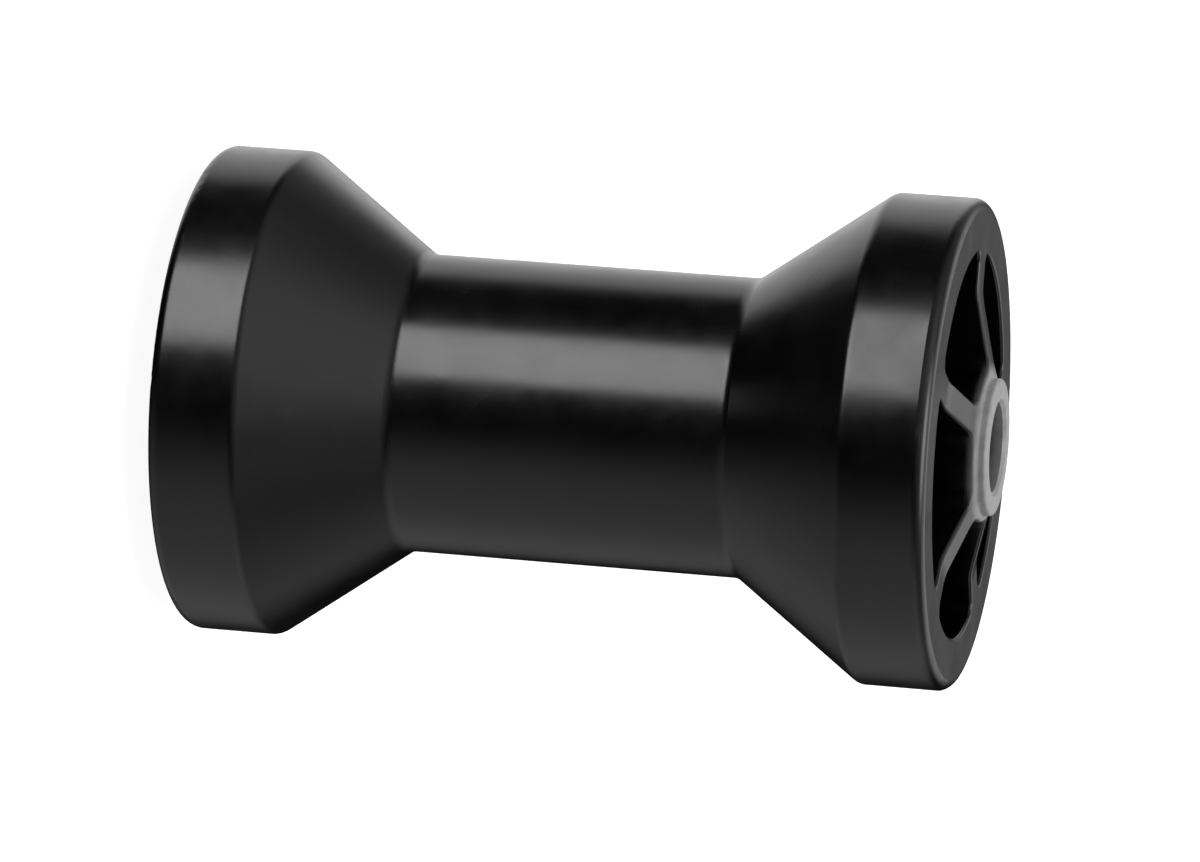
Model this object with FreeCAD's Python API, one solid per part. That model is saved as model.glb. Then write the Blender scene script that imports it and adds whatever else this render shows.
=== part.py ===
"""Spool roller that carries the keel of a small boat on its trailer.

The roller is moulded in one piece. A straight waist runs between two cones, and each cone ends in a wide
rim. A bore goes right through for the shaft of the trailer's bracket. Each end is cored out: a ring of
pockets lies between the hub and the rim, with ribs between them. The ends of the ribs are flush with the
rim and slope up to the hub, and a collar on the hub stands proud of them, so that only the two collars
rub on the bracket.

The axis is +Z and the origin is on it, at the lower collar's end face. Sizes are in millimetres. Heights
are measured up from that face, and the upper end is the lower end mirrored about mid-length.
"""

import FreeCAD
import Part
import math
import os

# Outside form
ROLLER_LENGTH = 125.8
HUB_PROUD = 4.4
RIM_RADIUS = 36.9
RIM_WIDTH = 13.1
CONE_LENGTH = 19.9
WAIST_RADIUS = 22.6
RIM_CORNER_RADIUS = 1.8
RIM_SHOULDER_RADIUS = 2.0
WAIST_FILLET_RADIUS = 2.5

# Hub, its collar and the bore
BORE_RADIUS = 6.8
BORE_CHAMFER = 0.5
HUB_WALL = 4.5
COLLAR_WALL = 3.5
COLLAR_HEIGHT = 1.3
COLLAR_EDGE_RADIUS = 0.5
COLLAR_ROOT_RADIUS = 0.3

# Pockets in each end
RIM_WALL = 7.9
CONE_WALL = 6.8
POCKET_DEPTH = 27.0
POCKET_CORNER_RADIUS = 1.8
HUB_CORNER_RADIUS = 3.5
CORNER_GAP = 0.4
POCKET_BEND_RADIUS = 10.0
POCKET_FLOOR_RADIUS = 1.5
DRAFT_ANGLE = 1.0

# Ribs between the pockets
RIB_COUNT = 5
RIB_THICKNESS = 4.6
FIRST_RIB_ANGLE = 180.0
RIB_FOOT_SETBACK = 6.3
RIB_FOOT_RADIUS = 12.0
MOUTH_EDGE_RADIUS = 0.5

# Heights of the lower end
RIM_EDGE_Z = HUB_PROUD
SHOULDER_Z = RIM_EDGE_Z + RIM_WIDTH
WAIST_Z = SHOULDER_Z + CONE_LENGTH
FLOOR_Z = RIM_EDGE_Z + POCKET_DEPTH
MIDDLE_Z = ROLLER_LENGTH / 2

# Radii and slopes that follow, with the place on the radius where the ends of the ribs begin to rise
HUB_RADIUS = BORE_RADIUS + HUB_WALL
COLLAR_RADIUS = BORE_RADIUS + COLLAR_WALL
MOUTH_RADIUS = RIM_RADIUS - RIM_WALL
RIB_FOOT_X = MOUTH_RADIUS - RIB_FOOT_SETBACK
DRAFT = math.tan(math.radians(DRAFT_ANGLE))
RIB_STEP_ANGLE = 360 / RIB_COUNT
CONE_SLOPE = (RIM_RADIUS - WAIST_RADIUS) / CONE_LENGTH
CONE_WALL_ACROSS = CONE_WALL * math.hypot(1, CONE_SLOPE)

# How far the pocket's cutting shape starts outside the roller, and how near a height counts as equal
OUTSIDE = 5.0
NEAR = 0.001

AXIS = FreeCAD.Vector(0, 0, 1)
ORIGIN = FreeCAD.Vector(0, 0, 0)


def section_point(radius, height):
    """A point of a section through the axis."""
    return FreeCAD.Vector(radius, 0, height)


def rounded_outline(corners):
    """A closed wire through corners, each a (point, radius) pair, with a tangent arc at each radius."""
    spans = []
    for index, (corner, radius) in enumerate(corners):
        if radius == 0:
            spans.append((corner, None, corner))
            continue
        back = (corners[index - 1][0] - corner).normalize()
        onward = (corners[(index + 1) % len(corners)][0] - corner).normalize()
        half_angle = back.getAngle(onward) / 2
        reach = radius / math.tan(half_angle)
        bisector = (back + onward).normalize()
        crown = corner + bisector * (radius / math.sin(half_angle) - radius)
        spans.append((corner + back * reach, crown, corner + onward * reach))
    edges = []
    for index, (start, crown, end) in enumerate(spans):
        if crown is not None:
            edges.append(Part.Arc(start, crown, end).toShape())
        following = spans[(index + 1) % len(spans)][0]
        if end.distanceToPoint(following) > NEAR:
            edges.append(Part.LineSegment(end, following).toShape())
    return Part.Wire(edges)


def turned(corners, sweep=360):
    """The solid swept by a section through the axis as it turns from +X, in degrees."""
    return Part.Face(rounded_outline(corners)).revolve(ORIGIN, AXIS, sweep)


def uncored_end():
    """The lower half of the roller with its bore, before the pockets are taken out."""
    return turned([
        (section_point(BORE_RADIUS, MIDDLE_Z), 0),
        (section_point(BORE_RADIUS, BORE_CHAMFER), 0),
        (section_point(BORE_RADIUS + BORE_CHAMFER, 0), 0),
        (section_point(COLLAR_RADIUS, 0), COLLAR_EDGE_RADIUS),
        (section_point(COLLAR_RADIUS, COLLAR_HEIGHT), COLLAR_ROOT_RADIUS),
        (section_point(RIB_FOOT_X, RIM_EDGE_Z), RIB_FOOT_RADIUS),
        (section_point(RIM_RADIUS, RIM_EDGE_Z), RIM_CORNER_RADIUS),
        (section_point(RIM_RADIUS, SHOULDER_Z), RIM_SHOULDER_RADIUS),
        (section_point(WAIST_RADIUS, WAIST_Z), WAIST_FILLET_RADIUS),
        (section_point(WAIST_RADIUS, MIDDLE_Z), 0),
    ])


def hub_wall_radius(height):
    """Radius of the hub's outside in the pockets, which widens with the draft."""
    return HUB_RADIUS + (height - COLLAR_HEIGHT) * DRAFT


def mouth_wall_radius(height):
    """Radius of the pockets' outer wall inside the rim, which narrows with the draft."""
    return MOUTH_RADIUS - (height - RIM_EDGE_Z) * DRAFT


def cone_wall_radius(height):
    """Radius of the pockets' outer wall inside the cone, one wall thickness in from the outside."""
    return RIM_RADIUS - (height - SHOULDER_Z) * CONE_SLOPE - CONE_WALL_ACROSS


def cored_space():
    """The space between hub and rim from the middle of one rib to the middle of the next."""
    bend_z = (cone_wall_radius(0) - mouth_wall_radius(0)) / (CONE_SLOPE - DRAFT)
    section = [
        (section_point(hub_wall_radius(-OUTSIDE), -OUTSIDE), 0),
        (section_point(hub_wall_radius(FLOOR_Z), FLOOR_Z), 0),
        (section_point(cone_wall_radius(FLOOR_Z), FLOOR_Z), 0),
        (section_point(mouth_wall_radius(bend_z), bend_z), POCKET_BEND_RADIUS),
        (section_point(mouth_wall_radius(-OUTSIDE), -OUTSIDE), 0),
    ]
    return turned(section, RIB_STEP_ANGLE)


def rib(angle):
    """One rib's slab, from the axis to beyond the ring, thicker towards the floor by the draft."""
    low, high = -2 * OUTSIDE, FLOOR_Z + OUTSIDE

    def half_thickness(height):
        return RIB_THICKNESS / 2 + (height - RIM_EDGE_Z) * DRAFT

    outline = Part.makePolygon([
        FreeCAD.Vector(0, -half_thickness(low), low),
        FreeCAD.Vector(0, half_thickness(low), low),
        FreeCAD.Vector(0, half_thickness(high), high),
        FreeCAD.Vector(0, -half_thickness(high), high),
        FreeCAD.Vector(0, -half_thickness(low), low),
    ])
    slab = Part.Face(outline).extrude(FreeCAD.Vector(RIM_RADIUS, 0, 0))
    slab.rotate(ORIGIN, AXIS, angle)
    return slab


def middle_radius(edge):
    """How far the middle of an edge lies from the axis."""
    middle = edge.valueAt((edge.FirstParameter + edge.LastParameter) / 2)
    return math.hypot(middle.x, middle.y)


def upright_edges(shape, nearest, farthest):
    """The edges that go down into a pocket, between two distances from the axis."""
    upright = [edge for edge in shape.Edges if edge.BoundBox.ZLength > NEAR]
    return [edge for edge in upright if nearest < middle_radius(edge) < farthest]


def hub_corner_radius():
    """Radius of a pocket's corners beside the hub, as far as its floor leaves room beside the outer ones."""
    floor_width = cone_wall_radius(FLOOR_Z) - hub_wall_radius(FLOOR_Z)
    return min(HUB_CORNER_RADIUS, floor_width - POCKET_CORNER_RADIUS - CORNER_GAP)


def pocket():
    """The shape that cores out one pocket, with its upright corners and the edge of its floor rounded."""
    shape = cored_space().cut(rib(0)).cut(rib(RIB_STEP_ANGLE))
    beside_hub = HUB_RADIUS + HUB_CORNER_RADIUS / 2
    shape = shape.makeFillet(POCKET_CORNER_RADIUS, upright_edges(shape, beside_hub, RIM_RADIUS))
    shape = shape.makeFillet(hub_corner_radius(), upright_edges(shape, 0, beside_hub))
    floor = [edge for edge in shape.Edges if edge.BoundBox.ZMin > FLOOR_Z - NEAR]
    return shape.makeFillet(POCKET_FLOOR_RADIUS, floor)


def pockets():
    """All the pockets of the lower end."""
    first = pocket().rotated(ORIGIN, AXIS, FIRST_RIB_ANGLE)
    angles = [index * RIB_STEP_ANGLE for index in range(RIB_COUNT)]
    return Part.makeCompound([first.rotated(ORIGIN, AXIS, angle) for angle in angles])


def mouth_edges(half):
    """The rim of every pocket's mouth: where a wall that goes down meets the end's outside."""
    skin = [face for face in half.Faces if face.BoundBox.ZMax < RIM_EDGE_Z + NEAR]
    walls = [face for face in half.Faces if face.BoundBox.ZMax > RIM_EDGE_Z + NEAR]
    edges = []
    for edge in [edge for face in skin for edge in face.Edges]:
        in_ring = COLLAR_RADIUS < middle_radius(edge) < MOUTH_RADIUS + NEAR
        if in_ring and any(edge.isSame(other) for wall in walls for other in wall.Edges):
            edges.append(edge)
    return edges


def cored_end():
    """The lower half of the roller."""
    half = uncored_end().cut(pockets())
    return half.makeFillet(MOUTH_EDGE_RADIUS, mouth_edges(half))


def roller():
    """The whole roller: the lower half and its mirror image."""
    lower = cored_end()
    upper = lower.mirror(FreeCAD.Vector(0, 0, MIDDLE_Z), AXIS)
    return lower.fuse(upper).removeSplitter()


def main():
    shape = roller()
    print("roller: valid", shape.isValid(), "solids", len(shape.Solids), "faces", len(shape.Faces))
    print("volume", round(shape.Volume / 1000, 2), "cm3, size", shape.BoundBox)
    os.makedirs("parts", exist_ok=True)
    shape.exportStep("parts/roller.step")


if __name__ == "__main__":
    main()
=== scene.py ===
"""Dresses a boat trailer's spool roller: its black finish, a pale floor, studio light and a camera.

The roller stands on its lower end, as modelled. The camera lies on its side, so that the upper end shows at
the right of the picture and the floor fills the background.
"""

import math

import bmesh
import bpy
from bpy.props import FloatProperty, FloatVectorProperty, PointerProperty
from mathutils import Matrix, Vector


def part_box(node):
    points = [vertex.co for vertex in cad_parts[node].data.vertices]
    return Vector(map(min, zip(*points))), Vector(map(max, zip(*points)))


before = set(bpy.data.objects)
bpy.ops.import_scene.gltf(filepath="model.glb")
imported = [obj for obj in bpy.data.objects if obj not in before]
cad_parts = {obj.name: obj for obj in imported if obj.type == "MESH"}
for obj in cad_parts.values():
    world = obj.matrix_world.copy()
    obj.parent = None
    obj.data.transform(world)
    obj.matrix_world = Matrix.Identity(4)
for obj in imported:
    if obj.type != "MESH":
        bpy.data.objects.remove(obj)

bl_info = {
    "name": "Boat trailer roller",
    "version": (1, 0, 0),
    "blender": (4, 5, 0),
    "location": "3D View > Sidebar > Roller",
    "description": "Gives the roller its moulded finish and sets up the studio round it",
    "category": "Object",
}

ROLLER_NODE = "roller"
ROLLER_LOW, ROLLER_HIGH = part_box(ROLLER_NODE)
ROLLER_MIDDLE = (ROLLER_LOW + ROLLER_HIGH) / 2

# The photograph's frame, in its pixels
PHOTO_WIDTH_PX = 1200
PHOTO_HEIGHT_PX = 862
FOCAL_LENGTH_PX = 7393.6
SIGHT_X_PX = 587.1
SIGHT_Y_PX = 415.5
SENSOR_WIDTH_MM = 36.0

# Where a noise's values mostly lie, how many octaves each noise has, and how rough the finest ones are
NOISE_LOW = 0.3
NOISE_HIGH = 0.7
SINK_DETAIL = 1
GRAIN_DETAIL = 3
MOTTLE_DETAIL = 4
GLOSS_DETAIL = 6
FINE_NOISE = 0.6

# How many patches of gloss or of rubbing go across one of the mottle's, and how little the rubbing can be
GLOSS_PER_MOTTLE = 3
RUBS_PER_MOTTLE = 9
LEAST_RUBBED = 0.75

# The patches of soft light round the roller. Each has the direction of its middle, and the cosines of the
# angles from there at which it begins and at which it is full.
SIDE_PATCH = ((0.93, -0.05, -0.36), 0.33, 0.95)
UPPER_SIDE_PATCH = ((0.8, 0.1, 0.59), 0.62, 0.92)
BACK_PATCH = ((-0.52, 0.76, -0.34), 0.818, 0.935)
UPPER_BACK_PATCH = ((-0.5, 0.8, 0.33), 0.82, 1.0)
END_PATCH = ((0.05, 0.7, 0.71), 0.78, 1.0)
HIGH_PATCH = ((0, -0.1, 0.995), 0.93, 0.985)
WIDE_TOP_PATCH = ((-0.41, -0.4, 0.82), 0.27, 0.95)
CLOSE_TOP_PATCH = ((-0.41, -0.4, 0.82), 0.8, 1.05)

# How strong some patches are beside the fill that they belong to
UPPER_SIDE_SHARE = 0.4
UPPER_BACK_SHARE = 0.25
WIDE_TOP_SHARE = 0.42
CLOSE_TOP_SHARE = 0.6


class RollerFinish(bpy.types.PropertyGroup):
    """Sizes and colours of the moulded finish."""

    dark: FloatVectorProperty(
        name="Dark tone", description="Darkest tone of the moulded skin", subtype="COLOR", size=4,
        min=0, max=1, default=(0.0002, 0.0002, 0.0003, 1))
    light: FloatVectorProperty(
        name="Light tone", description="Palest tone of the moulded skin", subtype="COLOR", size=4,
        min=0, max=1, default=(0.0011, 0.0011, 0.0012, 1))
    roughness: FloatProperty(
        name="Roughness", description="Mean roughness of the skin", min=0, max=1, default=0.24)
    roughness_spread: FloatProperty(
        name="Roughness spread", description="How far the roughness strays from its mean",
        min=0, max=0.5, default=0.04)
    mottle_size: FloatProperty(
        name="Mottle size", description="Size of the cloudy patches of tone and gloss",
        subtype="DISTANCE", unit="LENGTH", default=0.018)
    grain_size: FloatProperty(
        name="Grain size", description="Size of the fine grain of the mould",
        subtype="DISTANCE", unit="LENGTH", default=0.0006)
    grain_depth: FloatProperty(
        name="Grain depth", description="Depth of the fine grain of the mould",
        subtype="DISTANCE", unit="LENGTH", default=0.000004)
    sink_size: FloatProperty(
        name="Sink size", description="Size of the shallow sinks left as the rubber cools",
        subtype="DISTANCE", unit="LENGTH", default=0.014)
    sink_depth: FloatProperty(
        name="Sink depth", description="Depth of the shallow sinks",
        subtype="DISTANCE", unit="LENGTH", default=0.00004)
    rubbed: FloatVectorProperty(
        name="Rubbed tone", description="Tone where the bracket and shaft have rubbed the hub's ends",
        subtype="COLOR", size=4, min=0, max=1, default=(0.44, 0.44, 0.445, 1))
    rubbed_roughness: FloatProperty(
        name="Rubbed roughness", description="Roughness of the rubbed ends", min=0, max=1, default=0.5)
    rubbed_radius: FloatProperty(
        name="Rubbed radius", description="How far from the axis the rubbing reaches in full",
        subtype="DISTANCE", unit="LENGTH", default=0.0108)
    rubbed_depth: FloatProperty(
        name="Rubbed depth", description="How far in from each end the rubbing reaches in full",
        subtype="DISTANCE", unit="LENGTH", default=0.0008)
    rubbed_fade: FloatProperty(
        name="Rubbed fade", description="Over what distance the rubbing fades",
        subtype="DISTANCE", unit="LENGTH", default=0.0024)


class StudioSetup(bpy.types.PropertyGroup):
    """Sizes, places and strengths of the studio."""

    floor_side: FloatProperty(
        name="Floor side", description="Length of the floor's side",
        subtype="DISTANCE", unit="LENGTH", default=12.0)
    floor_glow: FloatProperty(
        name="Floor glow", description="How much the pale floor is lit from within", default=0.93)
    camera_distance: FloatProperty(
        name="Camera distance", description="From the camera to the roller's middle",
        subtype="DISTANCE", unit="LENGTH", default=1.1157)
    camera_rise: FloatProperty(
        name="Camera rise", description="How far the camera looks down along the roller",
        subtype="ANGLE", unit="ROTATION", default=0.2177)
    camera_roll: FloatProperty(
        name="Camera roll", description="How far the roller's axis slopes in the picture",
        subtype="ANGLE", unit="ROTATION", default=0.078)
    softbox_angle: FloatProperty(
        name="Softbox angle", description="Angle of the softbox round the axis, up from the camera",
        subtype="ANGLE", unit="ROTATION", default=math.radians(39.5))
    softbox_distance: FloatProperty(
        name="Softbox distance", description="From the roller's axis to the softbox",
        subtype="DISTANCE", unit="LENGTH", default=0.9)
    softbox_width: FloatProperty(
        name="Softbox width", description="Size of the softbox round the axis",
        subtype="DISTANCE", unit="LENGTH", default=0.65)
    softbox_length: FloatProperty(
        name="Softbox length", description="Size of the softbox along the axis",
        subtype="DISTANCE", unit="LENGTH", default=0.6)
    softbox_height: FloatProperty(
        name="Softbox height", description="Height of the softbox's middle",
        subtype="DISTANCE", unit="LENGTH", default=-0.27)
    softbox_power: FloatProperty(
        name="Softbox power", description="Power of the softbox", subtype="POWER", unit="POWER",
        default=6.85)
    side_fill: FloatProperty(
        name="Side fill", description="Strength of the soft light from +X", default=0.54)
    back_fill: FloatProperty(
        name="Back fill", description="Strength of the soft light from behind, towards -X", default=1.05)
    end_fill: FloatProperty(
        name="End fill", description="Strength of the soft light that skims the upper end", default=1.1)
    high_fill: FloatProperty(
        name="High fill", description="Strength of the small soft light straight above", default=4.4)
    top_fill: FloatProperty(
        name="Top fill", description="Strength of the soft light from above and in front", default=1.0)
    base_fill: FloatProperty(
        name="Base fill", description="Strength of the dim light from all round", default=0.005)


def add_node(tree, kind, **sockets):
    """A new node of a tree, with values on its input sockets by name."""
    node = tree.nodes.new(kind)
    for name, value in sockets.items():
        node.inputs[name.replace("_", " ")].default_value = value
    return node


def feed(tree, socket, value):
    """Give an input socket another node's output, or else a plain value."""
    if isinstance(value, bpy.types.NodeSocket):
        tree.links.new(value, socket)
    else:
        socket.default_value = value


def arithmetic(tree, operation, *values):
    """The result of a maths node on values that are numbers or other nodes' outputs."""
    node = tree.nodes.new("ShaderNodeMath")
    node.operation = operation
    for socket, value in zip(node.inputs, values):
        feed(tree, socket, value)
    return node.outputs["Value"]


def mixed(tree, kind, share, low, high):
    """A mix of two values or colours by a share, each one a plain value or another node's output."""
    mix = tree.nodes.new("ShaderNodeMix")
    mix.data_type = kind
    sockets = [socket for socket in mix.inputs if socket.enabled]
    for socket, value in zip(sockets, (share, low, high)):
        feed(tree, socket, value)
    return next(socket for socket in mix.outputs if socket.enabled)


def smooth_range(tree, source, begin, end, low, high):
    """A smooth run from low to high as a value goes from begin to end, and level beyond them."""
    run = add_node(tree, "ShaderNodeMapRange", From_Min=begin, From_Max=end, To_Min=low, To_Max=high)
    run.interpolation_type = "SMOOTHSTEP"
    tree.links.new(source, run.inputs["Value"])
    return run.outputs["Result"]


def noise_height(tree, coordinates, size, detail, roughness=0.5):
    """Noise whose patches are about size across, read on Object coordinates."""
    noise = add_node(tree, "ShaderNodeTexNoise", Scale=1 / size, Detail=detail, Roughness=roughness)
    tree.links.new(coordinates.outputs["Object"], noise.inputs["Vector"])
    return noise.outputs["Fac"]


def spread_range(tree, source, low, high):
    """A noise's middle spread out to run from low to high."""
    spread = add_node(
        tree, "ShaderNodeMapRange", From_Min=NOISE_LOW, From_Max=NOISE_HIGH, To_Min=low, To_Max=high)
    tree.links.new(source, spread.inputs["Value"])
    return spread.outputs["Result"]


def rubbing(tree, coordinates, finish):
    """How rubbed the skin is: wholly at the ends of the hub, fading outwards and down the bore."""
    split = tree.nodes.new("ShaderNodeSeparateXYZ")
    tree.links.new(coordinates.outputs["Object"], split.inputs["Vector"])
    x_squared = arithmetic(tree, "POWER", split.outputs["X"], 2)
    y_squared = arithmetic(tree, "POWER", split.outputs["Y"], 2)
    radius = arithmetic(tree, "SQRT", arithmetic(tree, "ADD", x_squared, y_squared))
    height = arithmetic(tree, "SUBTRACT", split.outputs["Z"], ROLLER_MIDDLE.z)
    from_middle = arithmetic(tree, "ABSOLUTE", height)
    from_end = arithmetic(tree, "SUBTRACT", ROLLER_HIGH.z - ROLLER_MIDDLE.z, from_middle)
    unrubbed_radius = finish.rubbed_radius + finish.rubbed_fade
    unrubbed_depth = finish.rubbed_depth + finish.rubbed_fade
    by_axis = smooth_range(tree, radius, finish.rubbed_radius, unrubbed_radius, 1, 0)
    by_end = smooth_range(tree, from_end, finish.rubbed_depth, unrubbed_depth, 1, 0)
    patches = noise_height(tree, coordinates, finish.mottle_size / RUBS_PER_MOTTLE, MOTTLE_DETAIL)
    patchy = spread_range(tree, patches, LEAST_RUBBED, 1)
    return arithmetic(tree, "MULTIPLY", arithmetic(tree, "MULTIPLY", by_axis, by_end), patchy)


def moulded_rubber(finish):
    """Black moulded rubber: cloudy tone and gloss, a fine grain, shallow sinks and rubbed hub ends."""
    material = bpy.data.materials.new("moulded_rubber")
    material.use_nodes = True
    tree = material.node_tree
    shader = tree.nodes["Principled BSDF"]
    shader.inputs["Specular IOR Level"].default_value = 0.5
    coordinates = tree.nodes.new("ShaderNodeTexCoord")

    rubbed = rubbing(tree, coordinates, finish)

    mottle = noise_height(tree, coordinates, finish.mottle_size, MOTTLE_DETAIL)
    moulded = mixed(tree, "RGBA", spread_range(tree, mottle, 0, 1), finish.dark, finish.light)
    tone = mixed(tree, "RGBA", rubbed, moulded, finish.rubbed)
    tree.links.new(tone, shader.inputs["Base Color"])

    gloss = noise_height(
        tree, coordinates, finish.mottle_size / GLOSS_PER_MOTTLE, GLOSS_DETAIL, FINE_NOISE)
    low = finish.roughness - finish.roughness_spread
    high = finish.roughness + finish.roughness_spread
    skin = spread_range(tree, gloss, low, high)
    roughness = mixed(tree, "FLOAT", rubbed, skin, finish.rubbed_roughness)
    tree.links.new(roughness, shader.inputs["Roughness"])

    sinks = add_node(tree, "ShaderNodeBump", Strength=1, Distance=finish.sink_depth)
    sink_height = noise_height(tree, coordinates, finish.sink_size, SINK_DETAIL)
    tree.links.new(sink_height, sinks.inputs["Height"])
    grain = add_node(tree, "ShaderNodeBump", Strength=1, Distance=finish.grain_depth)
    grain_height = noise_height(tree, coordinates, finish.grain_size, GRAIN_DETAIL, FINE_NOISE)
    tree.links.new(grain_height, grain.inputs["Height"])
    tree.links.new(sinks.outputs["Normal"], grain.inputs["Normal"])
    tree.links.new(grain.outputs["Normal"], shader.inputs["Normal"])
    return material


def pale_floor(studio):
    """A plain pale floor that glows almost to white, so that shadows on it stay faint."""
    material = bpy.data.materials.new("pale_floor")
    material.use_nodes = True
    shader = material.node_tree.nodes["Principled BSDF"]
    shader.inputs["Base Color"].default_value = (0.5, 0.5, 0.5, 1)
    shader.inputs["Roughness"].default_value = 0.9
    shader.inputs["Specular IOR Level"].default_value = 0.1
    shader.inputs["Emission Color"].default_value = (1, 1, 1, 1)
    shader.inputs["Emission Strength"].default_value = studio.floor_glow
    return material


def add_floor(studio):
    """The floor that the roller stands on, which reflections and shadow rays pass."""
    plane = bmesh.new()
    bmesh.ops.create_grid(plane, x_segments=1, y_segments=1, size=studio.floor_side / 2)
    mesh = bpy.data.meshes.new("floor")
    plane.to_mesh(mesh)
    plane.free()
    mesh.materials.append(pale_floor(studio))
    floor = bpy.data.objects.new("floor", mesh)
    bpy.context.scene.collection.objects.link(floor)
    floor.visible_glossy = False
    floor.visible_shadow = False


def facing_matrix(place, sight, up):
    """The matrix of a light or camera at place that looks along sight."""
    back = -sight.normalized()
    right = up.cross(back).normalized()
    turned_up = back.cross(right)
    turn = Matrix((right, turned_up, back)).transposed().to_4x4()
    return Matrix.Translation(place) @ turn


def add_softbox(studio):
    """The softbox whose reflection runs along the roller as a pale band."""
    angle = studio.softbox_angle
    outward = Vector((-math.sin(angle), -math.cos(angle), 0))
    place = outward * studio.softbox_distance + Vector((0, 0, studio.softbox_height))
    light = bpy.data.lights.new("softbox", "AREA")
    light.shape = "RECTANGLE"
    light.size = studio.softbox_width
    light.size_y = studio.softbox_length
    light.energy = studio.softbox_power
    softbox = bpy.data.objects.new("softbox", light)
    softbox.matrix_world = facing_matrix(place, -outward, Vector((0, 0, 1)))
    softbox.visible_camera = False
    bpy.context.scene.collection.objects.link(softbox)


def soft_patch(tree, sight, patch, strength):
    """Light that grows from nothing to a strength as the line of sight turns towards a patch's middle."""
    direction, begins, full = patch
    towards = tree.nodes.new("ShaderNodeVectorMath")
    towards.operation = "DOT_PRODUCT"
    towards.inputs[1].default_value = Vector(direction).normalized()
    tree.links.new(sight, towards.inputs[0])
    return smooth_range(tree, towards.outputs["Value"], begins, full, 0, strength)


def add_surroundings(studio):
    """Patches of soft light in a dim room, and a white backdrop that the camera alone sees."""
    world = bpy.data.worlds.new("studio")
    bpy.context.scene.world = world
    world.use_nodes = True
    tree = world.node_tree
    tree.nodes.clear()
    sight = tree.nodes.new("ShaderNodeTexCoord").outputs["Generated"]
    patches = (
        (SIDE_PATCH, studio.side_fill),
        (UPPER_SIDE_PATCH, studio.side_fill * UPPER_SIDE_SHARE),
        (BACK_PATCH, studio.back_fill),
        (UPPER_BACK_PATCH, studio.back_fill * UPPER_BACK_SHARE),
        (END_PATCH, studio.end_fill),
        (HIGH_PATCH, studio.high_fill),
        (WIDE_TOP_PATCH, studio.top_fill * WIDE_TOP_SHARE),
        (CLOSE_TOP_PATCH, studio.top_fill * CLOSE_TOP_SHARE),
    )
    total = studio.base_fill
    for patch, strength in patches:
        total = arithmetic(tree, "ADD", total, soft_patch(tree, sight, patch, strength))
    lighting = add_node(tree, "ShaderNodeBackground", Color=(1, 1, 1, 1))
    tree.links.new(total, lighting.inputs["Strength"])
    backdrop = add_node(tree, "ShaderNodeBackground", Color=(1, 1, 1, 1), Strength=1.0)
    seen = tree.nodes.new("ShaderNodeLightPath")
    both = tree.nodes.new("ShaderNodeMixShader")
    tree.links.new(seen.outputs["Is Camera Ray"], both.inputs["Fac"])
    tree.links.new(lighting.outputs["Background"], both.inputs[1])
    tree.links.new(backdrop.outputs["Background"], both.inputs[2])
    output = tree.nodes.new("ShaderNodeOutputWorld")
    tree.links.new(both.outputs["Shader"], output.inputs["Surface"])


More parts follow.
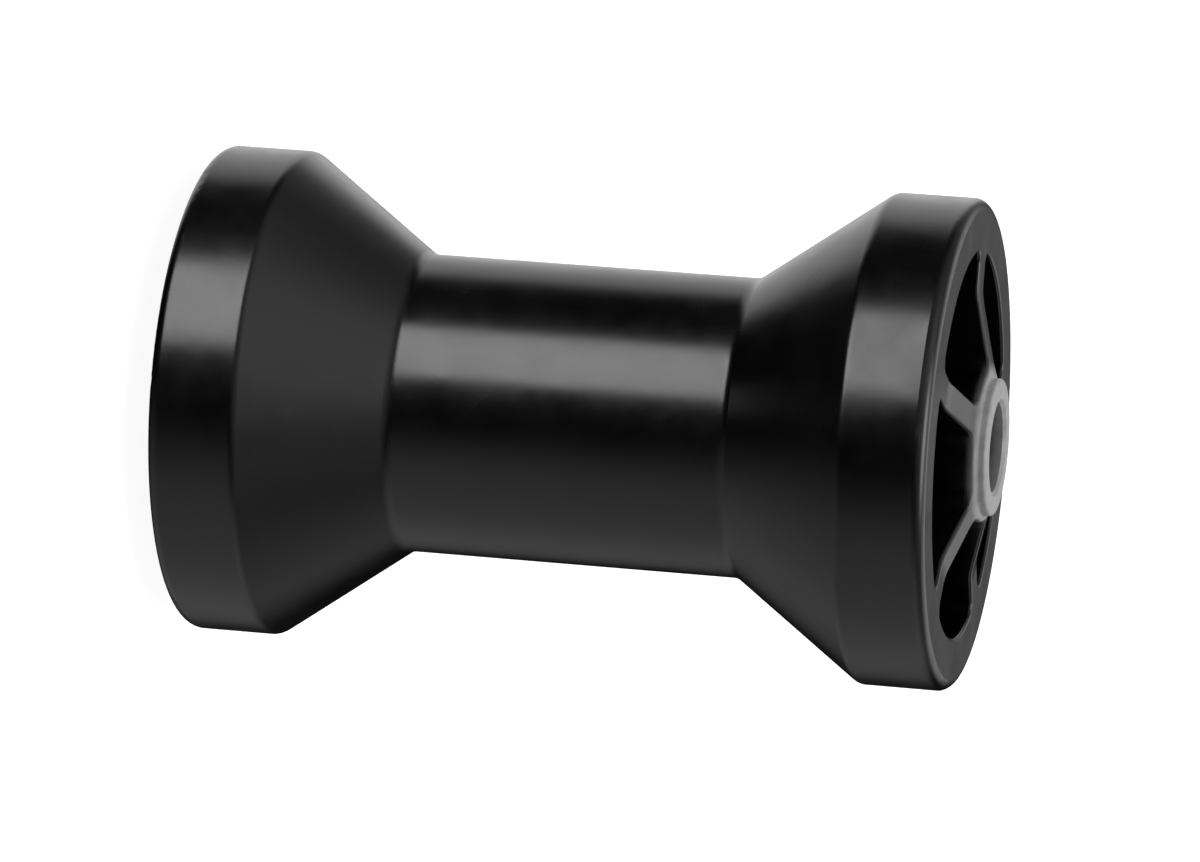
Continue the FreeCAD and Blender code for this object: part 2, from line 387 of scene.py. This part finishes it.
def add_camera(studio):
    """The camera at the photograph's angle, lying on its side."""
    rise, roll = studio.camera_rise, studio.camera_roll
    sight = Vector((0, math.cos(rise), -math.sin(rise)))
    level_right = Vector((0, math.sin(rise), math.cos(rise)))
    level_up = Vector((-1, 0, 0))
    up = level_up * math.cos(roll) - level_right * math.sin(roll)
    view = bpy.data.cameras.new("camera")
    view.sensor_width = SENSOR_WIDTH_MM
    view.lens = FOCAL_LENGTH_PX / PHOTO_WIDTH_PX * SENSOR_WIDTH_MM
    view.shift_x = (PHOTO_WIDTH_PX / 2 - SIGHT_X_PX) / PHOTO_WIDTH_PX
    view.shift_y = (SIGHT_Y_PX - PHOTO_HEIGHT_PX / 2) / PHOTO_WIDTH_PX
    view.clip_start = 0.05
    view.clip_end = 50
    camera = bpy.data.objects.new("camera", view)
    place = ROLLER_MIDDLE - sight * studio.camera_distance
    camera.matrix_world = facing_matrix(place, sight, up)
    bpy.context.scene.collection.objects.link(camera)
    bpy.context.scene.camera = camera


class ROLLER_OT_finish(bpy.types.Operator):
    """Give the moulded roller its black finish."""

    bl_idname = "roller.finish"
    bl_label = "Moulded finish"

    def execute(self, context):
        """Put the finish on every slot of the roller."""
        rubber = moulded_rubber(context.scene.roller_finish)
        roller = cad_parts[ROLLER_NODE]
        for slot in roller.material_slots:
            slot.material = rubber
        return {"FINISHED"}


class ROLLER_OT_stage(bpy.types.Operator):
    """Set up the floor, the lights and the camera."""

    bl_idname = "roller.stage"
    bl_label = "Floor, light and camera"

    def execute(self, context):
        """Make the whole studio."""
        studio = context.scene.roller_studio
        add_floor(studio)
        add_softbox(studio)
        add_surroundings(studio)
        add_camera(studio)
        context.scene.view_settings.view_transform = "Standard"
        return {"FINISHED"}


class VIEW3D_PT_roller(bpy.types.Panel):
    """Lists the steps and their sizes."""

    bl_label = "Boat trailer roller"
    bl_space_type = "VIEW_3D"
    bl_region_type = "UI"
    bl_category = "Roller"

    def draw(self, context):
        """Draw each step above the values that it reads."""
        for step, values in (
            (ROLLER_OT_finish, context.scene.roller_finish),
            (ROLLER_OT_stage, context.scene.roller_studio),
        ):
            self.layout.operator(step.bl_idname)
            column = self.layout.column()
            for name in values.__annotations__:
                column.prop(values, name)


CLASSES = (RollerFinish, StudioSetup, ROLLER_OT_finish, ROLLER_OT_stage, VIEW3D_PT_roller)


def register():
    """Add the classes, and the values to the scene."""
    for cls in CLASSES:
        bpy.utils.register_class(cls)
    bpy.types.Scene.roller_finish = PointerProperty(type=RollerFinish)
    bpy.types.Scene.roller_studio = PointerProperty(type=StudioSetup)


def unregister():
    """Take the values and the classes away again."""
    del bpy.types.Scene.roller_studio
    del bpy.types.Scene.roller_finish
    for cls in reversed(CLASSES):
        bpy.utils.unregister_class(cls)


def main():
    """Dress the roller."""
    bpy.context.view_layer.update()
    register()
    bpy.ops.roller.finish()
    bpy.ops.roller.stage()


if __name__ == "__main__":
    main()
